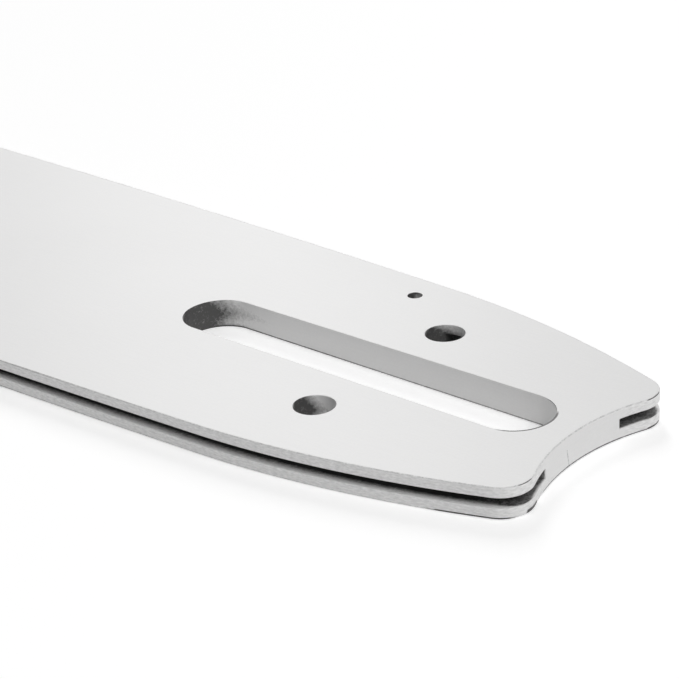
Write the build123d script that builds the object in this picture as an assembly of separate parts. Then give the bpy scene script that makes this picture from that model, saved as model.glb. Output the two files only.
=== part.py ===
from build123d import *
from math import cos, radians, sin, sqrt, tan
import os

# Guide bar of a light chainsaw, with a sprocket nose. Lengths are in millimetres, angles in degrees.
# The bar lies on its lower face. X runs from the tail to the nose, Y across the bar and Z up.
# The origin is the middle of the mounting slot, on the lower face.

# Sheets: two side sheets with a narrower core sheet between them
side_sheet = 1.1
core_sheet = 1.1
groove_depth = 6.4
rim_break = 0.12

# Outline
slot_to_nose = 376.5
nose_radius = 16.2
belly_radius = 2200.0
shoulder_radius = 111.0
ear_spacing = 20.5
ear_radius = 3.2
tail_radius = 23.5
tail_web = 3.2

# Mounting end, with the land that is left on the core sheet beside the adjuster holes,
# and the oil ways that lead through this land from the adjuster holes to the groove
slot_width = 8.2
slot_centres = 41.0
adjuster_radius = 2.17
adjuster_spacing = 20.6
adjuster_at = -3.55
adjuster_land = 0.6
oil_way_width = 2.8
oil_radius = 0.83
oil_at = 5.7
oil_offset = 16.35

# Nose sprocket
tooth_count = 7
tooth_reach = 1.3
tooth_tip_round = 0.5
gullet_floor = 10.2
gullet_radius = 4.0
gullet_flare = 33.0
core_to_sprocket = 0.6
side_play = 0.05

# Roller bearing of the sprocket
race_radius = 6.2
roller_radius = 0.85
roller_count = 14
roller_play = 0.03
pocket_play = 0.05
cage_play = 0.12
cage_flange = 0.2

# Rivets of the nose
rivet_count = 3
rivet_orbit = 3.4
rivet_radius = 1.25
rivet_head_radius = 1.75
rivet_fit = 0.01

# Heights of the sheets
core_bottom = side_sheet
core_top = side_sheet + core_sheet
bar_top = core_top + side_sheet

# Radii and places of the sprocket and its bearing
tooth_tip_radius = nose_radius + tooth_reach
roller_orbit = race_radius + roller_play + roller_radius
sprocket_bore = roller_orbit + roller_radius + roller_play
sprocket_thickness = core_sheet - 2 * side_play
sprocket_bottom = core_bottom + side_play
roller_length = sprocket_thickness - cage_flange - side_play


def circles_meet(centre_a, radius_a, centre_b, radius_b, key):
    """Of the two points where two circles meet, the one with the greater key."""
    gap = centre_b - centre_a
    along = (gap.length**2 + radius_a**2 - radius_b**2) / (2 * gap.length)
    across = sqrt(radius_a**2 - along**2)
    ahead = gap.normalized()
    aside = Vector(-ahead.Y, ahead.X)
    meetings = [centre_a + ahead * along + aside * across * side for side in (-1, 1)]
    return max(meetings, key=key)


def towards_minus_y(point):
    """Key for the meeting point on the -Y side."""
    return -point.Y


def towards_nose(point):
    """Key for the meeting point nearer the nose."""
    return point.X


def towards_tail(point):
    """Key for the meeting point nearer the tail."""
    return -point.X


def point_on_circle(centre, radius, other):
    """Point of a circle in the direction of another point."""
    return centre + (other - centre).normalized() * radius


def arc_about(centre, radius, start, end):
    """Short arc about a centre between two points."""
    return ThreePointArc(start, point_on_circle(centre, radius, (start + end) / 2), end)


def arc_across(centre, reach, start):
    """Arc about a point of the X axis, from a start above the axis over to its mirror image."""
    return ThreePointArc(start, centre + Vector(reach, 0), Vector(start.X, -start.Y))


# Centres of the outline's arcs, each tangent to the next: tail hollow, ear, shoulder, belly and nose.
# The shoulder passes the adjuster hole at the distance that the core's land and the groove need.
nose_centre = Vector(slot_to_nose - nose_radius, 0)
tail_centre = Vector(-slot_centres / 2 - slot_width / 2 - tail_web - tail_radius, 0)
ear_x = tail_centre.X + sqrt((tail_radius + ear_radius) ** 2 - (ear_spacing / 2) ** 2)
ear_centre = Vector(ear_x, ear_spacing / 2)
heel = Vector(adjuster_at, adjuster_spacing / 2 + adjuster_radius + adjuster_land + groove_depth)
shoulder_to_ear = shoulder_radius - ear_radius
shoulder_centre = circles_meet(heel, shoulder_radius, ear_centre, shoulder_to_ear, towards_minus_y)
belly_to_shoulder = belly_radius - shoulder_radius
belly_to_nose = belly_radius - nose_radius
belly_centre = circles_meet(shoulder_centre, belly_to_shoulder, nose_centre, belly_to_nose, towards_minus_y)


def closed_profile(upper, nose, tail):
    """Face within the upper edges, their mirror image and the two arcs that cross the X axis."""
    return make_face(upper + mirror(upper, Plane.XZ) + nose + tail)


def side_profile():
    """Outline of a side sheet: nose, belly, shoulder, ear and tail hollow."""
    nose_end = point_on_circle(belly_centre, belly_radius, nose_centre)
    belly_end = point_on_circle(belly_centre, belly_radius, shoulder_centre)
    shoulder_end = point_on_circle(shoulder_centre, shoulder_radius, ear_centre)
    ear_end = point_on_circle(ear_centre, ear_radius, tail_centre)
    upper = Curve() + [
        arc_about(belly_centre, belly_radius, nose_end, belly_end),
        arc_about(shoulder_centre, shoulder_radius, belly_end, shoulder_end),
        arc_about(ear_centre, ear_radius, shoulder_end, ear_end),
    ]
    nose = arc_across(nose_centre, nose_radius, nose_end)
    tail = arc_across(tail_centre, tail_radius, ear_end)
    return closed_profile(upper, nose, tail)


def core_profile():
    """Outline of the core sheet: set back from the rails by the groove and hollowed for the sprocket."""
    belly = belly_radius - groove_depth
    shoulder = shoulder_radius - groove_depth
    pocket = tooth_tip_radius + core_to_sprocket
    pocket_corner = circles_meet(belly_centre, belly, nose_centre, pocket, towards_tail)
    belly_end = point_on_circle(belly_centre, belly, shoulder_centre)
    tail_corner = circles_meet(shoulder_centre, shoulder, tail_centre, tail_radius, towards_nose)
    upper = Curve() + [
        arc_about(belly_centre, belly, pocket_corner, belly_end),
        arc_about(shoulder_centre, shoulder, belly_end, tail_corner),
    ]
    nose = arc_across(nose_centre, -pocket, pocket_corner)
    tail = arc_across(tail_centre, tail_radius, tail_corner)
    return closed_profile(upper, nose, tail)


def mounting_holes():
    """Stud slot and the two holes for the chain adjuster's pin."""
    slot = SlotCenterToCenter(slot_centres, slot_width)
    adjuster = Circle(adjuster_radius)
    return slot + [Pos(adjuster_at, side * adjuster_spacing / 2) * adjuster for side in (-1, 1)]


def rivet_places():
    """Places of the rivets around the nose centre."""
    return Pos(nose_centre) * PolarLocations(rivet_orbit, rivet_count, start_angle=180 / rivet_count)


def rivet_solid(play):
    """Rivet from face to face with both heads countersunk flush, grown by a play."""
    shank = rivet_radius + play
    head = rivet_head_radius + play
    sink = head - shank
    side = [(shank, sink), (shank, bar_top - sink)]
    profile = Polyline((0, 0), (head, 0), *side, (head, bar_top), (0, bar_top), close=True)
    return revolve(Plane.XZ * make_face(profile), Axis.Z)


def rivet_holes():
    """All rivet holes of the nose, countersunk."""
    return [place * rivet_solid(rivet_fit) for place in rivet_places()]


def side_plate():
    """Side sheet lying with its outer face up: rim broken, oil hole on the -Y side."""
    blank = extrude(side_profile(), side_sheet)
    outer_face = blank.faces().sort_by(Axis.Z)[-1]
    oil_hole = Pos(oil_at, -oil_offset) * Circle(oil_radius)
    return chamfer(outer_face.edges(), rim_break) - extrude(mounting_holes() + oil_hole, side_sheet)


def upper_side_plate():
    """Upper sheet."""
    return Pos(0, 0, core_top) * side_plate() - rivet_holes()


def lower_side_plate():
    """Lower sheet, the upper one turned over about X, so that the bar can run either way up."""
    return Pos(0, 0, side_sheet) * Rot(180, 0, 0) * side_plate() - rivet_holes()


def oil_ways():
    """Cuts that open the adjuster holes to the groove on both sides, twice as long as they need to be."""
    reach = 2 * (adjuster_radius + adjuster_land)
    cut = Pos(0, (adjuster_spacing + reach) / 2) * Rectangle(oil_way_width, reach)
    return [Pos(adjuster_at, 0) * Rot(0, 0, turn) * cut for turn in (0, 180)]


def core_plate():
    """Core sheet, whose edge is the floor of the chain groove."""
    profile = core_profile() - mounting_holes() - oil_ways()
    return Pos(0, 0, core_bottom) * extrude(profile, core_sheet)


def gullet():
    """Opening between two teeth, round at the floor and flared outwards."""
    middle = gullet_floor + gullet_radius
    flare = radians(gullet_flare)
    inner = (middle - gullet_radius * sin(flare), gullet_radius * cos(flare))
    outer_x = tooth_tip_radius + gullet_radius
    outer = (outer_x, inner[1] + (outer_x - inner[0]) * tan(flare))
    wedge = make_face(Polyline(inner, outer, (outer[0], -outer[1]), (inner[0], -inner[1]), close=True))
    return Pos(middle, 0) * Circle(gullet_radius) + wedge


def nose_sprocket():
    """Star of teeth that carries the chain round the nose, bored for the rollers."""
    gullets = PolarLocations(0, tooth_count, start_angle=180 / tooth_count) * gullet()
    star = Circle(tooth_tip_radius) - gullets
    tips = star.vertices().filter_by(lambda v: Vector(v).length > tooth_tip_radius - tooth_tip_round)
    star = fillet(tips, tooth_tip_round) - Circle(sprocket_bore)
    return Pos(nose_centre.X, 0, sprocket_bottom) * extrude(star, sprocket_thickness)


def bearing_race():
    """Inner race, clamped between the side sheets by the rivets."""
    disc = Cylinder(race_radius, core_sheet, align=(Align.CENTER, Align.CENTER, Align.MIN))
    return Pos(nose_centre.X, 0, core_bottom) * disc - rivet_holes()


def roller_places():
    """Places of the rollers around the nose centre."""
    return Pos(nose_centre) * PolarLocations(roller_orbit, roller_count)


def roller_cage():
    """Thin flange with fingers between the rollers."""
    ring = Circle(sprocket_bore - cage_play) - Circle(race_radius + cage_play)
    pocket = Rectangle(sprocket_bore - race_radius, 2 * (roller_radius + pocket_play))
    pockets = PolarLocations(roller_orbit, roller_count) * pocket
    flange = extrude(ring, cage_flange)
    fingers = extrude(ring - pockets, sprocket_thickness)
    return Pos(nose_centre.X, 0, sprocket_bottom) * (flange + fingers)


def roller():
    """Roller standing on the cage's flange."""
    blank = Cylinder(roller_radius, roller_length, align=(Align.CENTER, Align.CENTER, Align.MIN))
    return Pos(0, 0, sprocket_bottom + cage_flange + side_play) * blank


def nose_rivets():
    """Rivets that hold the race between the side sheets."""
    return Compound([place * rivet_solid(0) for place in rivet_places()])


parts = {
    "upper_side_plate": upper_side_plate(),
    "lower_side_plate": lower_side_plate(),
    "core_plate": core_plate(),
    "nose_sprocket": nose_sprocket(),
    "bearing_race": bearing_race(),
    "roller_cage": roller_cage(),
    "nose_rivets": nose_rivets(),
}
for number, place in enumerate(roller_places(), start=1):
    parts[f"roller_{number:02d}"] = place * roller()

os.makedirs("parts", exist_ok=True)
for name, shape in parts.items():
    export_step(shape, f"parts/{name}.step")
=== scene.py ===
from math import atan2, ceil, cos, pi, radians, sin, sqrt

import bpy
import numpy as np
from mathutils import Matrix, Vector
from mathutils.geometry import delaunay_2d_cdt


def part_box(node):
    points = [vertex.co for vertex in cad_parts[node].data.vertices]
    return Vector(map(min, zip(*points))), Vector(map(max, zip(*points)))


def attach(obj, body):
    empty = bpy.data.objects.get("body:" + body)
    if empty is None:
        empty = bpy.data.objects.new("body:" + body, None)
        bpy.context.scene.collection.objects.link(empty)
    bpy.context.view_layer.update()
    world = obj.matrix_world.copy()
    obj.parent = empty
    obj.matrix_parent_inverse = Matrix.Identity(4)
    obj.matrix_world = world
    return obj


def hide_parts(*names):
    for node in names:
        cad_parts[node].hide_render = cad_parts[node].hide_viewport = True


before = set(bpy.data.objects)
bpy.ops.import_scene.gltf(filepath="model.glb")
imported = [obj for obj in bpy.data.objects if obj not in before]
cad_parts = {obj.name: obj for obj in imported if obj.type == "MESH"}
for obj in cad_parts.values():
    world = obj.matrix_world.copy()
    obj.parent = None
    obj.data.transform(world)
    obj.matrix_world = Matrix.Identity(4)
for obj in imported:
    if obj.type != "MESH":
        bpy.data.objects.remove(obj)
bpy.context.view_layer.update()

# Guide bar of a light chainsaw. Lengths are in millimetres until a mesh or a lamp is made of them.
# X runs from the tail to the nose, Y across the bar and Z up, from the middle of the mounting slot.
MM = 0.001

# Heights of the sheets, from the frame
core_bottom, core_top = (corner.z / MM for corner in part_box("core_plate"))
bar_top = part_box("upper_side_plate")[1].z / MM
side_sheet = bar_top - core_top

# Outline
slot_to_nose = 376.5
nose_radius = 16.2
belly_radius = 2200.0
shoulder_radius = 111.0
ear_spacing = 20.5
ear_radius = 3.2
tail_radius = 23.5
tail_web = 3.2

# Groove and sprocket pocket, which the core sheet leaves open
groove_depth = 6.4
sprocket_pocket = 18.1

# Mounting end
slot_width = 8.2
slot_centres = 41.0
adjuster_radius = 2.17
adjuster_spacing = 20.6
adjuster_at = -3.55
adjuster_land = 0.6
oil_way_width = 2.8
oil_radius = 0.83
oil_at = 5.7
oil_offset = 16.35

# Rivet holes of the nose
rivet_count = 3
rivet_orbit = 3.4
rivet_hole_radius = 1.26
rivet_sink = 0.5

# Edges: radii of the outer faces' rim, of the edge along the groove and of the edges of slot and holes,
# and the share of its round that an inner edge keeps where the core sheet lies flush with it
rim_round = 0.12
groove_edge = 0.06
hole_edge = 0.05
flush_share = 0.05

# Mesh: steps along each kind of stretch, steps round an edge, rings below it and on the flat beside it,
# insets of the rings on the groove's side, levels of the core sheet's edge, and the angle of a sharp edge
long_step = 2.5
shoulder_step = 0.8
fine_step = 0.16
round_steps = 6
wall_strip = 0.05
wall_rings = 3
flat_strip = 0.25
groove_strips = [0.15, 0.3, 0.5, 0.8, 1.2, 1.6, 2.2]
core_levels = 9
crease_angle = 30

# Painted shade on the walls of the slot and the holes: the coat gives way to dark steel where the rim would
# shade the wall from the light, whose way is the first number below. For each of them: what the coat lacks at
# the outer faces, what it lacks more for each mm in from them, and how soft the shade's edge is. Along the
# slot the walls get less shade away from the nose end, by the gain over the run below.
shadow_light_from = (0.521, 0.853)
slot_shade = (0.3, 0.28, 0.45)
near_hole_shade = (0.0, 0.33, 0.3)
far_hole_shade = (0.0, 0.85, 0.5)
oil_hole_shade = (1.1, -1.1, 0.5)
slot_light_gain = 0.7
slot_light_run = 11.0
darkest_shade_cover = 0.23

# How far the coat reaches onto the groove's side, along the rails and at the ears, with dark steel and
# painted shade deeper in the groove beyond it, and the dust of coat that got into the groove from the tail
groove_coat_and_shade_reach = 1.8
ear_coat_and_shade_reach = 0.2
tail_dust = 0.3
tail_dust_reach = 6.0

# Cover left on the rims of the rails and of the tail hollow, and how deep below the rim it goes: wear on the
# upper sheet, and on the lower sheet a painted contact shade where the bar meets the floor.
# From its first place in X to its second, rail_wear takes its third number off the rails' cover.
rail_wear_and_shade = {"upper": 0.66, "lower": 0.72}
rail_wear = (0.0, 45.0, 0.14)
rail_wear_and_shade_depth = {"upper": 0.0, "lower": 0.075}
hollow_wear_and_shade = {"upper": 0.66, "lower": 0.3}
rivet_hole_cover = 0.5
corner_fade = 1.5
flush_fade = 0.1

# Slot: cover left on the upper rim round the tail end, the width of that wear on the face's near side, and
# how soon it sets in there. The lower rim is darkened all along by a painted contact shade where it meets the
# floor, and from its first place in X to its second the fade of a painted soft shadow falls from 1 to its
# third number, which takes off more. Depths are below the rim.
slot_end_cover = 0.12
slot_end_width = 0.12
slot_end_onset = 0.6
lower_slot_foot_shade = 0.45
lower_slot_shadow_fade = (-2.0, 12.0, 0.78)
slot_wear_and_shade_depth = {"upper": 0.025, "lower": 0.125}
slot_shadow_depth = 0.175

# Chips that bare the steel of a rim: x, y, half length, and depth below the rim. The coat is gone
# in their core, which is a share of the half length. Some of the lower sheet's chips darken its foot
# along the floor and are a painted contact shade.
rim_chips_and_foot_shade = {
    "upper": [
        (-29.8, 10.6, 1.0, -0.05),
        (-29.8, -10.3, 1.2, -0.03),
        (1.4, 19.3, 0.2, 0.1),
        (-7.8, 19.7, 0.2, 0.1),
    ],
    "lower": [
        (-26.0, 13.8, 4.2, 0.06),
        (-29.9, 9.5, 1.3, 0.16),
        (-29.8, -10.3, 1.2, 0.1),
        (-29.3, -8.4, 1.9, -0.01),
        (-6.6, 18.9, 0.2, 0.1),
    ],
}
chip_core = 0.7

# Scratch down the tail face: its Y at the lower face, its lean, its upper end, its half width and
# the share of cover that it takes
scratch_at = 1.25
scratch_lean = 0.185
scratch_top = 2.05
scratch_width = 0.22
scratch_depth = 0.5

# Finishes. A grey is a level and a warmth. Scales are in waves per metre, and stretches in waves per mm
# along and across an edge. Tones are shares of the colour, and the relief is in metres.
coat_grey = (0.8, 0.003)
steel_grey = (0.075, 0.01)
speckle_scale = 3600.0
mottle_scale = 45.0
dusting_scale = 3200.0
line_stretch = (0.22, 9.0, 1.0)
grinding_stretch = (1.6, 5.0, 1.0)
speckle_tone = 0.035
mottle_tone = 0.02
line_tone = 0.03
grinding_tone = 0.32
dusting_range = (0.1, 0.9)
steel_roughness = 0.42
coat_roughness = (0.42, 0.52)
coat_metallic = 0.03
coat_specular = 0.25
fine_relief = 0.000006
line_relief = 0.6
coat_relief = 1.5

# Bare steels, each with its grey and roughness, turned or ground in rings about the nose's axis
bare_steels = {
    "sprocket_steel": ((0.36, 0.02), 0.36),
    "bearing_steel": ((0.62, 0.0), 0.16),
    "rivet_steel": ((0.42, 0.01), 0.34),
}
ring_scale = 420.0
ring_tone = 0.04
cloud_scale = 270.0
cloud_tones = (0.88, 1.1)
cloud_gloss = (0.8, 1.25)
polymer_greys = ((0.09, 0.08), (0.15, 0.08))
polymer_roughness = (0.42, 0.58)

# The photo's view: the point of the upper face that the camera looks at, its bearing, elevation and roll
# in degrees, its distance, and the focal length in pixels of the photo
view_target = (4.817, -2.682, 3.3)
view_bearing = 133.762
view_elevation = 24.538
view_roll = -4.011
view_distance = 189.163
view_focal = 1767.6
photo_width = 679
film_width = 36.0
clip_range = (0.01, 20.0)

# Light: a dim even fill, a broad lamp overhead towards the tail, and a lower one behind the far rail.
# Bearing and tilt from the upright are in degrees, sizes in metres. A level is the brightness that
# the lamp gives a white floor.
fill_strength = 0.25
lamp_distance = 1.5
lamps = {
    "overhead": {"bearing": 172.0, "tilt": 38.5, "size": (1.0, 1.0), "level": 0.44},
    "behind": {"bearing": -43.0, "tilt": 55.0, "size": (0.35, 0.7), "level": 0.16},
}

# Floor, in metres: it turns plain white over a range of distances from the bar's middle
floor_half = 3.0
floor_white = 0.98
floor_glow = 0.235
floor_fade = (0.3, 0.8)


def unit(vector):
    """Vector of length one."""
    return vector / np.hypot(*vector)


def circles_meet(centre_a, radius_a, centre_b, radius_b, key):
    """Of the two points where two circles meet, the one with the greater key."""
    gap = centre_b - centre_a
    length = np.hypot(*gap)
    along = (length**2 + radius_a**2 - radius_b**2) / (2 * length)
    across = sqrt(radius_a**2 - along**2)
    aside = np.array([-gap[1], gap[0]]) / length
    meetings = [centre_a + gap / length * along + aside * across * side for side in (-1, 1)]
    return max(meetings, key=key)


def towards_minus_y(point):
    """Key for the meeting point on the -Y side."""
    return -point[1]


def towards_nose(point):
    """Key for the meeting point nearer the nose."""
    return point[0]


def towards_tail(point):
    """Key for the meeting point nearer the tail."""
    return -point[0]


# Centres of the outline's arcs, each tangent to the next: tail hollow, ear, shoulder, belly and nose
nose_centre = np.array([slot_to_nose - nose_radius, 0.0])
tail_centre = np.array([-slot_centres / 2 - slot_width / 2 - tail_web - tail_radius, 0.0])
ear_x = tail_centre[0] + sqrt((tail_radius + ear_radius) ** 2 - (ear_spacing / 2) ** 2)
ear_centre = np.array([ear_x, ear_spacing / 2])
heel = np.array([adjuster_at, adjuster_spacing / 2 + adjuster_radius + adjuster_land + groove_depth])
shoulder_to_ear = shoulder_radius - ear_radius
shoulder_centre = circles_meet(heel, shoulder_radius, ear_centre, shoulder_to_ear, towards_minus_y)
belly_to_shoulder = belly_radius - shoulder_radius
belly_to_nose = belly_radius - nose_radius
belly_centre = circles_meet(
    shoulder_centre, belly_to_shoulder, nose_centre, belly_to_nose, towards_minus_y)


def on_circle(centre, radius, other):
    """Point of a circle in the direction of another point."""
    return centre + unit(other - centre) * radius


def arc(centre, radius, start, end, step, into):
    """Points centre + radius (cos a, sin a) for angles a from start to end in equal steps, end left out.

    into is -1 where the material lies on the centre's side and +1 where it lies outside the circle.
    Each row holds x, y and the unit vector into the material.
    """
    first = atan2(start[1] - centre[1], start[0] - centre[0])
    turn = atan2(end[1] - centre[1], end[0] - centre[0]) - first
    turn = (turn + pi) % (2 * pi) - pi
    count = ceil(abs(turn) * radius / step)
    angle = first + turn * np.arange(count) / count
    ray = np.stack([np.cos(angle), np.sin(angle)], axis=1)
    return np.hstack([centre + radius * ray, into * ray])


def straight(start, end, step):
    """Points from start to end in equal steps, end left out, with the material on the left."""
    run = end - start
    count = ceil(np.hypot(*run) / step)
    points = start + np.arange(count)[:, None] / count * run
    left = np.array([-run[1], run[0]]) / np.hypot(*run)
    return np.hstack([points, np.tile(left, (count, 1))])


def mirrored_loop(half):
    """Closed path: a half from X axis to X axis, then its mirror image in the X axis run backwards."""
    back = half[::-1][1:-1] * np.array([1, -1, 1, -1])
    return np.vstack([half, back])


def side_outline():
    """Outline of a side sheet, anticlockwise from the tip of the nose."""
    apex = nose_centre + np.array([nose_radius, 0.0])
    nose_end = on_circle(belly_centre, belly_radius, nose_centre)
    belly_end = on_circle(belly_centre, belly_radius, shoulder_centre)
    shoulder_end = on_circle(shoulder_centre, shoulder_radius, ear_centre)
    ear_end = on_circle(ear_centre, ear_radius, tail_centre)
    hollow = tail_centre + np.array([tail_radius, 0.0])
    half = np.vstack([
        arc(nose_centre, nose_radius, apex, nose_end, shoulder_step, -1),
        arc(belly_centre, belly_radius, nose_end, belly_end, long_step, -1),
        arc(shoulder_centre, shoulder_radius, belly_end, shoulder_end, shoulder_step, -1),
        arc(ear_centre, ear_radius, shoulder_end, ear_end, fine_step, -1),
        arc(tail_centre, tail_radius, ear_end, hollow, fine_step, 1),
        [[*hollow, 1.0, 0.0]],
    ])
    return mirrored_loop(half)


def core_corner():
    """Corner of the core sheet where the floor of the groove meets the hollow tail face."""
    shoulder = shoulder_radius - groove_depth
    return circles_meet(shoulder_centre, shoulder, tail_centre, tail_radius, towards_nose)


def core_outline():
    """Outline of the core sheet, anticlockwise from the sprocket pocket, in and out of the adjuster holes."""
    belly = belly_radius - groove_depth
    shoulder = shoulder_radius - groove_depth
    pocket_floor = nose_centre - np.array([sprocket_pocket, 0.0])
    pocket_corner = circles_meet(belly_centre, belly, nose_centre, sprocket_pocket, towards_tail)
    belly_end = on_circle(belly_centre, belly, shoulder_centre)
    hollow = tail_centre + np.array([tail_radius, 0.0])
    hole = np.array([adjuster_at, adjuster_spacing / 2])
    way = oil_way_width / 2
    mouth = [np.array([adjuster_at + side * way, 0.0]) for side in (1, -1)]
    for point in mouth:
        point[1] = shoulder_centre[1] + sqrt(shoulder**2 - (point[0] - shoulder_centre[0]) ** 2)
    throat = hole[1] + sqrt(adjuster_radius**2 - way**2)
    foot = [np.array([point[0], throat]) for point in mouth]
    bottom = hole - np.array([0.0, adjuster_radius])
    half = np.vstack([
        arc(nose_centre, sprocket_pocket, pocket_floor, pocket_corner, shoulder_step, 1),
        arc(belly_centre, belly, pocket_corner, belly_end, long_step, -1),
        arc(shoulder_centre, shoulder, belly_end, mouth[0], shoulder_step, -1),
        straight(mouth[0], foot[0], fine_step),
        arc(hole, adjuster_radius, foot[0], bottom, fine_step, 1),
        arc(hole, adjuster_radius, bottom, foot[1], fine_step, 1),
        straight(foot[1], mouth[1], fine_step),
        arc(shoulder_centre, shoulder, mouth[1], core_corner(), fine_step, -1),
        arc(tail_centre, tail_radius, core_corner(), hollow, fine_step, 1),
        [[*hollow, 1.0, 0.0]],
    ])
    return mirrored_loop(half)


def round_hole(x, y, radius):
    """Circle (x, y) + radius (cos a, sin a) with a falling, so that the material lies on its left."""
    count = ceil(2 * pi * radius / fine_step)
    angle = -2 * pi * np.arange(count) / count
    ray = np.stack([np.cos(angle), np.sin(angle)], axis=1)
    return np.hstack([np.array([x, y]) + radius * ray, ray])


def slot_hole():
    """Stud slot run clockwise: two straight walls and two half circles."""
    half_width = slot_width / 2
    nose_end, tail_end = (np.array([side * slot_centres / 2, 0.0]) for side in (1, -1))
    up, ahead = np.array([0.0, half_width]), np.array([half_width, 0.0])
    return np.vstack([
        straight(tail_end + up, nose_end + up, shoulder_step),
        arc(nose_end, half_width, nose_end + up, nose_end + ahead, fine_step, 1),
        arc(nose_end, half_width, nose_end + ahead, nose_end - up, fine_step, 1),
        straight(nose_end - up, tail_end - up, shoulder_step),
        arc(tail_end, half_width, tail_end - up, tail_end - ahead, fine_step, 1),
        arc(tail_end, half_width, tail_end - ahead, tail_end + up, fine_step, 1),
    ])


def carried(path, profile, softness=None):
    """Rings of points: ring j is the path moved into the material by inset j and raised to height j.

    The profile's last two columns are added in proportion to softness, one number per path point.
    """
    inset, height, soft_inset, soft_height = (column[:, None] for column in np.array(profile).T)
    softness = np.ones(len(path)) if softness is None else softness
    move = inset + soft_inset * softness
    plane = path[None, :, :2] + move[:, :, None] * path[None, :, 2:]
    level = height + soft_height * softness
    return np.dstack([plane, level + np.zeros_like(move)])


def quarter_round(radius):
    """Points (radius - radius sin a, radius - radius cos a) of a quarter circle, a from 0 to 90 degrees."""
    angle = np.linspace(0, pi / 2, round_steps + 1)
    return np.stack([radius * (1 - np.sin(angle)), radius * (1 - np.cos(angle))], axis=1)


def rim_profile(outer_round, inner_round, inner_strips):
    """Section of a side sheet's edge: outer face, round rim, wall, softer inner edge and inner face."""
    flat = [(outer_round + strip, side_sheet, 0, 0) for strip in (flat_strip, slot_end_width)]
    upper = [(side, side_sheet - drop, 0, 0) for side, drop in quarter_round(outer_round)]
    drops = [outer_round + count * wall_strip for count in range(1, wall_rings + 1)]
    wall = [(0, side_sheet - drop, 0, 0) for drop in drops]
    foot = [(0, side_sheet / 2, 0, 0), (0, wall_strip, 0, inner_round)]
    lower = [(0, 0, drop, side) for side, drop in quarter_round(inner_round)]
    strips = [(inset, 0, 0, 0) for inset in inner_strips]
    return flat + upper + wall + foot + lower + strips


def sink_profile():
    """Section of a countersunk rivet hole's edge."""
    return [
        (rivet_sink + flat_strip, side_sheet, 0, 0),
        (rivet_sink, side_sheet, 0, 0),
        (0, side_sheet - rivet_sink, 0, 0),
        (0, 0, 0, 0),
        (flat_strip, 0, 0, 0),
    ]


def wall_profile(levels):
    """Section of a plain upright edge."""
    return [(0, level, 0, 0) for level in levels]


def ramp(value, low, high):
    """Smooth step of an array from 0 at low to 1 at high."""
    share = np.clip((value - low) / (high - low), 0, 1)
    return share * share * (3 - 2 * share)


def close_to_tail(path):
    """1 at the tail face, fading to 0 inwards, where dust of the coat got into the groove."""
    tail_face = tail_centre[0] + tail_radius
    return 1 - ramp(path[:, 0], tail_face, tail_face + tail_dust_reach)


def in_tail_hollow(path, fade):
    """1 along the tail face where the core sheet reaches it, 0 elsewhere."""
    width = abs(core_corner()[1])
    return (1 - ramp(np.abs(path[:, 1]), width, width + fade)) * (path[:, 0] < -slot_centres / 2)


def hole_painted_shade(path, painted_shade, height, gain=0.0):
    """Cover of a hole's wall with the painted shade of its rim: 0.5 + 0.25 (n . s + gain - lack) / fade,
    between the least cover and 1.

    n is the way the wall looks and s the way the light comes from, mirrored in Y. Where the wall turns from
    the light, the coat gives way to dark steel as a painted shadow. The lack grows with the depth below the
    nearer face.
    """
    lack, lack_per_depth, fade = painted_shade
    facing = gain - path[:, 2] * shadow_light_from[0] + np.abs(path[:, 3]) * shadow_light_from[1]
    needed = lack + lack_per_depth * np.minimum(bar_top - height, height)
    return np.clip(0.5 + 0.25 * (facing[None, :] - needed[:, None]) / fade, darkest_shade_cover, 1)


def hole_side_painted_shade(path, painted_shade, rings, sheet, gain=0.0):
    """Cover of a hole's edge in a side sheet: the outer face whole, the wall with the painted shade of its
    rim.
    """
    level = rings[:, 0, 2]
    height = core_bottom - level if sheet == "lower" else core_top + level
    outer = (level >= side_sheet)[:, None]
    return np.where(outer, 1.0, hole_painted_shade(path, painted_shade, height, gain))


def less_shade_along_slot(path):
    """Less painted shade on the slot's walls away from its nose end, as if light came in along the slot."""
    return slot_light_gain * ramp(slot_centres / 2 - path[:, 0], -slot_width / 2, slot_light_run)


def upper_slot_wear(path, rings):
    """Share of cover left on the upper sheet's slot: less on the rim round the tail end.

    Onto the face the wear spreads only on the end's near side, where the way into the material has
    more Y than X.
    """
    at_end = ramp(-path[:, 0], slot_centres / 2, slot_centres / 2 + slot_width / 4)
    inset = np.abs(rings[:, :1, 1] - path[0, 1])
    depth = side_sheet - rings[:, :1, 2]
    near_side = ramp(path[:, 3] - path[:, 2], 0.0, slot_end_onset)
    share = at_end * np.where(inset > hole_edge / 2, near_side, 1.0)
    beside = inset < hole_edge + (slot_end_width + flat_strip) / 2
    rim_band = beside & (depth < hole_edge + slot_wear_and_shade_depth["upper"])
    return np.where(rim_band, 1 + (slot_end_cover - 1) * share, 1.0)


def lower_slot_contact_shade(path, rings):
    """Share of cover on the lower sheet's slot: a painted contact shade along the rim where it meets the
    floor, and a painted soft shadow reaching deeper towards the nose.
    """
    low, high, softest = lower_slot_shadow_fade
    soft = 1 + (softest - 1) * ramp(path[:, 0], low, high)
    depth = side_sheet - rings[:, :1, 2]
    rim_band, faded = (
        (depth > 0) & (depth < hole_edge + reach) for reach in (slot_wear_and_shade_depth["lower"], slot_shadow_depth))
    return np.where(faded, soft, 1.0) * np.where(rim_band, lower_slot_foot_shade, 1.0)


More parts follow.
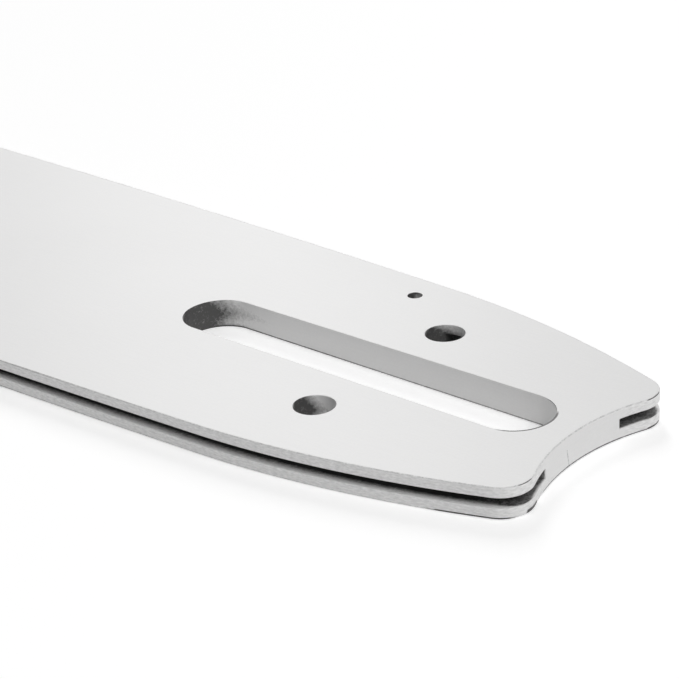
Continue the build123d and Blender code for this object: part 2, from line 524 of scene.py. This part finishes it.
def groove_side_cover(path, rings, sheet):
    """Cover of a side sheet's edge: whole on the wall; worn thin on the rims, and on the lower sheet's rim a
    painted contact shade; fading over the groove's side into dark steel with painted shade.
    """
    inset = np.linalg.norm(rings[:, :, :2] - path[None, :, :2], axis=2)
    depth = rings[0, 0, 2] - rings[:, :, 2]
    in_groove = depth >= side_sheet - groove_edge
    reach = ear_coat_and_shade_reach + (groove_coat_and_shade_reach - ear_coat_and_shade_reach) * path[:, 3] ** 2
    faded = np.maximum(1 - ramp(inset, 0, reach), tail_dust * close_to_tail(path))
    worn_from, worn_at, wear = rail_wear
    thin = rail_wear_and_shade[sheet] - wear * ramp(path[:, 0], worn_from, worn_at)
    thin = thin + (hollow_wear_and_shade[sheet] - thin) * in_tail_hollow(path, corner_fade)
    on_rim = (depth < rim_round + rail_wear_and_shade_depth[sheet]) & (inset <= rim_round)
    return chipped_and_foot_shaded(np.where(in_groove, faded, np.where(on_rim, thin, 1.0)), rings, depth, sheet)


def chipped_and_foot_shaded(cover, rings, depth, sheet):
    """Cover with each chip of the sheet's rim taken out of it; some chips of the lower sheet are a painted
    contact shade along its foot.
    """
    turned = -1 if sheet == "lower" else 1
    for x, y, reach, rise in rim_chips_and_foot_shade[sheet]:
        away = np.hypot(rings[:, :, 0] - x, turned * rings[:, :, 1] - y)
        inside = (depth > rim_round / 4) & (depth < rim_round + rise + wall_strip / 4)
        cover = np.where(inside, cover * ramp(away, chip_core * reach, reach), cover)
    return cover


def scratched(cover, y, rings, height):
    """Cover with the scratch down the tail face taken out of it: y = scratch_at + scratch_lean z."""
    away = np.abs(y - scratch_at - scratch_lean * height)
    inside = (rings[:, :, 0] < -slot_centres / 2) & (height > 0) & (height < scratch_top)
    return np.where(inside, cover * (1 - scratch_depth * (1 - ramp(away, 0, scratch_width))), cover)


def between(points, edges):
    """Which points lie between closed rings: a ray from them towards +X crosses an odd number of edges."""
    x, y = points.T[:, :, None]
    (x1, y1), (x2, y2) = edges[:, 0].T, edges[:, 1].T
    passes = (y1 > y) != (y2 > y)
    ahead = ((x - x1) * (y2 - y1) < (y - y1) * (x2 - x1)) == (y2 > y1)
    return (passes & ahead).sum(axis=1) % 2 == 1


class Sheet:
    """Collects the closed bands of a sheet's edges, then fills the two flat faces between them."""

    def __init__(self):
        self.points, self.faces, self.maps, self.covers, self.ground = [], [], [], [], []
        self.top, self.bottom = [], []
        self.count = 0

    def add_band(self, path, rings, cover, ground=0.0):
        """Quads between neighbouring rings, with distances along the path and down the profile as the map."""
        levels, around = rings.shape[:2]
        index = self.count + np.arange(levels * around).reshape(levels, around)
        following = np.roll(index, -1, axis=1)
        quads = np.stack([index[:-1], index[1:], following[1:], following[:-1]], axis=2)
        step = np.hypot(*(np.roll(path, -1, axis=0) - path)[:, :2].T)
        start = np.cumsum(step) - step
        down = np.linalg.norm(np.diff(rings[:, 0], axis=0), axis=1)
        depth = np.concatenate([[0], np.cumsum(down)])
        near, far, above, below = np.broadcast_arrays(
            start, start + step, depth[:-1, None], depth[1:, None])
        corners = [(near, above), (near, below), (far, below), (far, above)]
        self.maps.append(np.stack([np.stack(pair, axis=2) for pair in corners], axis=2).reshape(-1, 2))
        self.faces.append(quads.reshape(-1, 4))
        self.points.append(rings.reshape(-1, 3))
        self.covers.append(np.broadcast_to(cover, (levels, around)).reshape(-1))
        self.ground.append(np.broadcast_to(ground, (levels, around)).reshape(-1))
        self.top.append((index[0], rings[0]))
        self.bottom.append((index[-1], rings[-1]))
        self.count += levels * around

    def flat_faces(self):
        """Delaunay triangles of both flat faces between their rings, turned outwards."""
        made = []
        for loops, up in ((self.top, 1), (self.bottom, -1)):
            index = np.concatenate([i for i, ring in loops])
            place = np.vstack([ring[:, :2] for i, ring in loops])
            ends = np.cumsum([len(ring) for i, ring in loops])
            order = np.split(np.arange(len(index)), ends[:-1])
            edges = np.vstack([np.stack([ring, np.roll(ring, -1)], axis=1) for ring in order])
            found = delaunay_2d_cdt(place.tolist(), edges.tolist(), [], 0, 0.0, True)
            triangles = np.array(found[3])[:, 0][np.array(found[2])]
            triangles = triangles[between(place[triangles].mean(axis=1), place[edges])]
            a, b, c = (place[triangles[:, k]] for k in range(3))
            turn = (b - a)[:, 0] * (c - a)[:, 1] - (b - a)[:, 1] * (c - a)[:, 0]
            triangles[turn * up < 0] = triangles[turn * up < 0][:, ::-1]
            made.append((index[triangles], place[triangles].reshape(-1, 2)))
        return made

    def build(self, name, place):
        """Mesh object of the sheet; place moves the whole array of points."""
        quads = np.vstack(self.faces)
        caps = self.flat_faces()
        triangles = np.vstack([faces for faces, places in caps])
        points = place(np.vstack(self.points)) * MM
        mesh = bpy.data.meshes.new(name)
        mesh.from_pydata(points, [], quads.tolist() + triangles.tolist())
        uv = np.vstack(self.maps + [places for faces, places in caps])
        mesh.uv_layers.new(name="along")
        mesh.uv_layers["along"].data.foreach_set("uv", uv.astype(np.float32).ravel())
        for attribute, values in (("cover", self.covers), ("ground", self.ground)):
            mesh.attributes.new(attribute, "FLOAT", "POINT")
            mesh.attributes[attribute].data.foreach_set("value", np.concatenate(values).astype(np.float32))
        mesh.polygons.foreach_set("use_smooth", np.ones(len(mesh.polygons), bool))
        mesh.set_sharp_from_angle(angle=radians(crease_angle))
        piece = bpy.data.objects.new(name, mesh)
        bpy.context.scene.collection.objects.link(piece)
        return piece


def side_sheet_made(sheet):
    """Side sheet lying with its outer face up: outline, slot, adjuster, oil and rivet holes."""
    made = Sheet()
    path = side_outline()
    softness = 1 + (flush_share - 1) * in_tail_hollow(path, flush_fade)
    rings = carried(path, rim_profile(rim_round, groove_edge, groove_strips), softness)
    cover = groove_side_cover(path, rings, sheet)
    if sheet == "lower":
        cover = scratched(cover, -rings[:, :, 1], rings, core_bottom - rings[:, :, 2])
    ground = (rings[:, :1, 2] < side_sheet) * (1 - in_tail_hollow(path, corner_fade))
    made.add_band(path, rings, cover, ground)
    add_slot(made, sheet)
    near = -1 if sheet == "lower" else 1
    # The walls of the adjuster and oil holes get the painted shade of their rims.
    for x, y, radius, painted_shade in [
        (adjuster_at, near * adjuster_spacing / 2, adjuster_radius, near_hole_shade),
        (adjuster_at, -near * adjuster_spacing / 2, adjuster_radius, far_hole_shade),
        (oil_at, -oil_offset, oil_radius, oil_hole_shade),
    ]:
        hole = round_hole(x, y, radius)
        rings = carried(hole, rim_profile(hole_edge, flush_share * hole_edge, [flat_strip]))
        made.add_band(hole, rings, hole_side_painted_shade(hole, painted_shade, rings, sheet))
    for angle in 2 * pi * (np.arange(rivet_count) + 0.5) / rivet_count:
        x, y = nose_centre + rivet_orbit * np.array([cos(angle), sin(angle)])
        hole = round_hole(x, y, rivet_hole_radius)
        rings = carried(hole, sink_profile())
        made.add_band(hole, rings, np.where(rings[:, :1, 2] < side_sheet, rivet_hole_cover, 1.0))
    return made


def add_slot(made, sheet):
    """Edge of the stud slot in a side sheet."""
    path = slot_hole()
    rings = carried(path, rim_profile(hole_edge, flush_share * hole_edge, [flat_strip]))
    # The slot's walls get the painted shade of its rim, with less of it away from the nose end.
    cover = hole_side_painted_shade(path, slot_shade, rings, sheet, less_shade_along_slot(path))
    # Worn rim on the upper sheet; on the lower sheet a painted contact shade where the rim meets the floor.
    slot_wear_and_shade = lower_slot_contact_shade if sheet == "lower" else upper_slot_wear
    made.add_band(path, rings, cover * slot_wear_and_shade(path, rings))


def core_sheet_made():
    """Core sheet: plain upright edges between its two faces."""
    made = Sheet()
    levels = np.linspace(core_top, core_bottom, core_levels)
    path = core_outline()
    cover = np.maximum(tail_dust * close_to_tail(path), in_tail_hollow(path, flush_fade))
    cover = np.tile(cover, (core_levels, 1))
    # Painted shade of the rims on the core's part of the adjuster holes' walls.
    for side, painted_shade in ((1, near_hole_shade), (-1, far_hole_shade)):
        away = np.hypot(path[:, 0] - adjuster_at, path[:, 1] - side * adjuster_spacing / 2)
        in_hole = away < adjuster_radius + hole_edge
        cover = np.where(in_hole, hole_painted_shade(path, painted_shade, levels), cover)
    rings = carried(path, wall_profile(levels))
    made.add_band(path, rings, scratched(cover, rings[:, :, 1], rings, rings[:, :, 2]))
    slot = slot_hole()
    # Painted shade of the rims on the core's part of the slot's walls.
    cover = hole_painted_shade(slot, slot_shade, levels, less_shade_along_slot(slot))
    made.add_band(slot, carried(slot, wall_profile(levels)), cover)
    return made


def as_upper(points):
    """A side sheet's points on top of the core sheet."""
    return points + np.array([0, 0, core_top])


def as_lower(points):
    """A side sheet's points turned over about X, under the core sheet."""
    return points * np.array([1, -1, -1]) + np.array([0, 0, core_bottom])


def as_core(points):
    """The core sheet is made in its place."""
    return points


def add_node(tree, kind, settings=None, **sockets):
    """Node with its settings, and each socket set to a value or linked to another node's output."""
    node = tree.nodes.new(kind)
    for name, value in (settings or {}).items():
        setattr(node, name, value)
    for name, value in sockets.items():
        socket = node.inputs[int(name[1:]) if name[0] == "_" else name.replace("_", " ")]
        if isinstance(value, bpy.types.NodeSocket):
            tree.links.new(value, socket)
        else:
            socket.default_value = value
    return node


def new_material(name, metallic=0.0, specular=0.5):
    """Material with an empty node tree, its shader and its output."""
    material = bpy.data.materials.new(name)
    material.use_nodes = True
    tree = material.node_tree
    tree.nodes.clear()
    shader = add_node(
        tree, "ShaderNodeBsdfPrincipled", Metallic=metallic, Specular_IOR_Level=specular)
    add_node(tree, "ShaderNodeOutputMaterial", Surface=shader.outputs["BSDF"])
    return material, tree, shader


def object_place(tree):
    """Place on the piece, in metres."""
    return add_node(tree, "ShaderNodeTexCoord").outputs["Object"]


def attribute(tree, name):
    """Number that the mesh carries at its points."""
    return add_node(tree, "ShaderNodeAttribute", {"attribute_name": name}).outputs["Fac"]


def noise(tree, source, scale, detail, roughness):
    """Cloudy pattern between 0 and 1; scale is in waves per unit of the source."""
    made = add_node(
        tree, "ShaderNodeTexNoise", Vector=source, Scale=scale, Detail=detail, Roughness=roughness)
    return made.outputs["Fac"]


def stretched_noise(tree, source, stretch, detail, roughness):
    """Cloudy pattern with its own number of waves per unit on each axis of the source."""
    scaled = add_node(tree, "ShaderNodeMapping", Vector=source, Scale=stretch).outputs["Vector"]
    return noise(tree, scaled, 1.0, detail, roughness)


def calculated(tree, operation, a, b, clamp=False):
    """Two numbers joined by a Math node."""
    settings = {"operation": operation, "use_clamp": clamp}
    return add_node(tree, "ShaderNodeMath", settings, _0=a, _1=b).outputs["Value"]


def spread(tree, value, low, high):
    """A pattern from 0 to 1 spread between low and high."""
    made = add_node(tree, "ShaderNodeMapRange", Value=value, To_Min=low, To_Max=high)
    return made.outputs["Result"]


def mixed(tree, share, first, second):
    """Colour that goes from the first to the second with a share."""
    settings = {"data_type": "RGBA"}
    return add_node(tree, "ShaderNodeMix", settings, _0=share, _6=first, _7=second).outputs[2]


def toned(tree, colour, tone):
    """Colour times a tone."""
    settings = {"data_type": "RGBA", "blend_type": "MULTIPLY"}
    return add_node(tree, "ShaderNodeMix", settings, _0=1.0, _6=colour, _7=tone).outputs[2]


def mixed_number(tree, share, first, second):
    """Number that goes from the first to the second with a share."""
    return add_node(tree, "ShaderNodeMix", _0=share, _2=first, _3=second).outputs[0]


def finish_shader(tree, shader, colour, roughness, relief, relief_strength):
    """Shader's colour, roughness and relief, each linked to its pattern."""
    bump = add_node(
        tree, "ShaderNodeBump", Strength=relief_strength, Distance=fine_relief, Height=relief)
    tree.links.new(colour, shader.inputs["Base Color"])
    tree.links.new(roughness, shader.inputs["Roughness"])
    tree.links.new(bump.outputs["Normal"], shader.inputs["Normal"])


def grey(level, warmth=0.0):
    """Neutral colour, a little warmer with more red than blue."""
    return (level * (1 + warmth), level, level * (1 - warmth), 1.0)


def sprayed_steel():
    """Pale silver coat over dark steel: speckle, mottling, fine grinding lines, worn edges, and painted shade
    where the coat's share is low.

    The coat's share is 2 cover - dusting, cut off at 0 and 1.
    """
    material, tree, shader = new_material("sprayed_steel", coat_metallic, coat_specular)
    place = object_place(tree)
    along = add_node(tree, "ShaderNodeUVMap", {"uv_map": "along"}).outputs["UV"]
    speckle = noise(tree, place, speckle_scale, detail=3.0, roughness=0.65)
    mottle = noise(tree, place, mottle_scale, detail=3.0, roughness=0.5)
    lines = stretched_noise(tree, along, line_stretch, detail=3.0, roughness=0.6)
    grinding = stretched_noise(tree, along, grinding_stretch, detail=2.0, roughness=0.6)
    dusting = noise(tree, place, dusting_scale, detail=2.0, roughness=0.7)
    dusting = spread(tree, dusting, *dusting_range)
    # The mesh's cover numbers hold the coat's real wear and also painted shade: low numbers give dark steel
    # on shaded walls of slot and holes, deeper in the groove and along the foot on the floor.
    double_coat_and_shade = calculated(tree, "MULTIPLY", attribute(tree, "cover"), 2.0)
    share = calculated(tree, "SUBTRACT", double_coat_and_shade, dusting, clamp=True)
    tone = spread(tree, grinding, -grinding_tone, grinding_tone)
    tone = calculated(tree, "MULTIPLY", attribute(tree, "ground"), tone)
    tone = calculated(tree, "ADD", tone, 1.0)
    for pattern, strength in ((speckle, speckle_tone), (mottle, mottle_tone), (lines, line_tone)):
        tone = calculated(tree, "ADD", tone, spread(tree, pattern, -strength, strength))
    colour = mixed(tree, share, grey(*steel_grey), toned(tree, grey(*coat_grey), tone))
    roughness = mixed_number(tree, share, steel_roughness, spread(tree, speckle, *coat_roughness))
    relief = calculated(tree, "ADD", speckle, calculated(tree, "MULTIPLY", lines, line_relief))
    relief = calculated(tree, "ADD", relief, calculated(tree, "MULTIPLY", share, coat_relief))
    finish_shader(tree, shader, colour, roughness, relief, relief_strength=1.0)
    return material


def turned_steel(name, level, roughness):
    """Bare steel with fine rings about the nose's axis, as grinding or turning leaves them."""
    material, tree, shader = new_material(name, metallic=1.0)
    place = object_place(tree)
    axis = (nose_centre[0] * MM, 0.0, 0.0)
    centred = add_node(tree, "ShaderNodeVectorMath", {"operation": "SUBTRACT"}, _0=place, _1=axis)
    rings = add_node(
        tree, "ShaderNodeTexWave", {"wave_type": "RINGS", "rings_direction": "Z"},
        Vector=centred.outputs["Vector"], Scale=ring_scale,
        Distortion=3.0, Detail=3.0, Detail_Scale=2.0).outputs["Fac"]
    cloud = noise(tree, place, cloud_scale, detail=3.0, roughness=0.6)
    tone = calculated(
        tree, "ADD", spread(tree, rings, -ring_tone, ring_tone), spread(tree, cloud, *cloud_tones))
    gloss = spread(tree, cloud, *(roughness * share for share in cloud_gloss))
    finish_shader(tree, shader, toned(tree, grey(*level), tone), gloss, rings, relief_strength=0.4)
    return material


def moulded_polymer():
    """Dark polymer of the roller cage, with a fine moulded grain."""
    material, tree, shader = new_material("moulded_polymer")
    grain = noise(tree, object_place(tree), speckle_scale, detail=3.0, roughness=0.6)
    dark, light = polymer_greys
    colour = mixed(tree, grain, grey(*dark), grey(*light))
    roughness = spread(tree, grain, *polymer_roughness)
    finish_shader(tree, shader, colour, roughness, grain, relief_strength=0.5)
    return material


def paint_node(name, material):
    """A node of the frame gets its finish in every material slot."""
    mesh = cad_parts[name].data
    mesh.materials.clear()
    mesh.materials.append(material)


def seen_share(tree):
    """1 for what the camera sees straight, in a reflection or through glass, 0 for what lights the scene."""
    path = add_node(tree, "ShaderNodeLightPath")
    seen = calculated(tree, "MAXIMUM", path.outputs["Is Camera Ray"], path.outputs["Is Glossy Ray"])
    return calculated(tree, "MAXIMUM", seen, path.outputs["Is Transmission Ray"])


def make_world():
    """Dim even light all round, seen as white."""
    world = bpy.data.worlds.new("studio")
    world.use_nodes = True
    tree = world.node_tree
    tree.nodes.clear()
    strength = mixed_number(tree, seen_share(tree), fill_strength, 1.0)
    background = add_node(tree, "ShaderNodeBackground", Color=grey(1.0), Strength=strength)
    add_node(tree, "ShaderNodeOutputWorld", Surface=background.outputs["Background"])
    bpy.context.scene.world = world


def make_floor():
    """Wide floor at the level that the bar lies on, seen as plain white further out."""
    corners = [(-1, -1), (1, -1), (1, 1), (-1, 1)]
    mesh = bpy.data.meshes.new("floor")
    mesh.from_pydata([(x * floor_half, y * floor_half, 0.0) for x, y in corners], [], [(0, 1, 2, 3)])
    floor = bpy.data.objects.new("floor", mesh)
    bpy.context.scene.collection.objects.link(floor)
    material, tree, shader = new_material("white_floor", specular=0.0)
    shader.inputs["Base Color"].default_value = grey(floor_white)
    shader.inputs["Roughness"].default_value = 1.0
    shader.inputs["Emission Color"].default_value = grey(1.0)
    middle = (slot_to_nose / 2 * MM, 0.0, 0.0)
    away = add_node(
        tree, "ShaderNodeVectorMath", {"operation": "DISTANCE"}, _0=object_place(tree), _1=middle)
    near, far = floor_fade
    glow = add_node(
        tree, "ShaderNodeMapRange", {"interpolation_type": "SMOOTHSTEP"}, Value=away.outputs["Value"],
        From_Min=near, From_Max=far, To_Min=floor_glow, To_Max=1.0).outputs["Result"]
    strength = calculated(tree, "MULTIPLY", seen_share(tree), glow)
    tree.links.new(strength, shader.inputs["Emission Strength"])
    mesh.materials.append(material)


def make_lamp(name, bearing, tilt, size, level):
    """Soft lamp that faces the mounting end from a bearing and a tilt from the upright."""
    lamp = bpy.data.lights.new(name, "AREA")
    lamp.shape = "RECTANGLE"
    lamp.size, lamp.size_y = size
    lamp.energy = level * pi * pi * lamp_distance**2 / cos(radians(tilt))
    holder = bpy.data.objects.new(name, lamp)
    side = sin(radians(tilt))
    direction = Vector((
        side * cos(radians(bearing)),
        side * sin(radians(bearing)),
        cos(radians(tilt))))
    holder.location = direction * lamp_distance
    holder.rotation_euler = (-direction).to_track_quat("-Z", "Y").to_euler()
    bpy.context.scene.collection.objects.link(holder)


def make_camera():
    """Camera at the photo's view, turned from level by the roll about its line of sight."""
    level = cos(radians(view_elevation))
    back = Vector((
        cos(radians(view_bearing)) * level,
        sin(radians(view_bearing)) * level,
        sin(radians(view_elevation))))
    level_right = Vector((0, 0, 1)).cross(back).normalized()
    upright = back.cross(level_right)
    roll = radians(view_roll)
    right = cos(roll) * level_right + sin(roll) * upright
    up = cos(roll) * upright - sin(roll) * level_right
    place = (Vector(view_target) + back * view_distance) * MM
    data = bpy.data.cameras.new("camera")
    data.sensor_width = film_width
    data.lens = film_width * view_focal / photo_width
    data.clip_start, data.clip_end = clip_range
    camera = bpy.data.objects.new("camera", data)
    rotation = Matrix((right, up, back)).transposed().to_4x4()
    camera.matrix_world = Matrix.Translation(place) @ rotation
    bpy.context.scene.collection.objects.link(camera)
    bpy.context.scene.camera = camera


bar_finish = sprayed_steel()
for piece_name, made, place, node in [
    ("upper_sheet", side_sheet_made("upper"), as_upper, "upper_side_plate"),
    ("lower_sheet", side_sheet_made("lower"), as_lower, "lower_side_plate"),
    ("core_sheet", core_sheet_made(), as_core, "core_plate"),
]:
    piece = made.build(piece_name, place)
    piece.data.materials.append(bar_finish)
    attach(piece, "bar")
    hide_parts(node)

steels = {name: turned_steel(name, *looks) for name, looks in bare_steels.items()}
paint_node("nose_sprocket", steels["sprocket_steel"])
paint_node("bearing_race", steels["bearing_steel"])
paint_node("nose_rivets", steels["rivet_steel"])
paint_node("roller_cage", moulded_polymer())
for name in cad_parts:
    if name.startswith("roller_") and name != "roller_cage":
        paint_node(name, steels["bearing_steel"])

make_world()
make_floor()
for name, settings in lamps.items():
    make_lamp(name, **settings)
make_camera()
bpy.context.scene.view_settings.view_transform = "Standard"
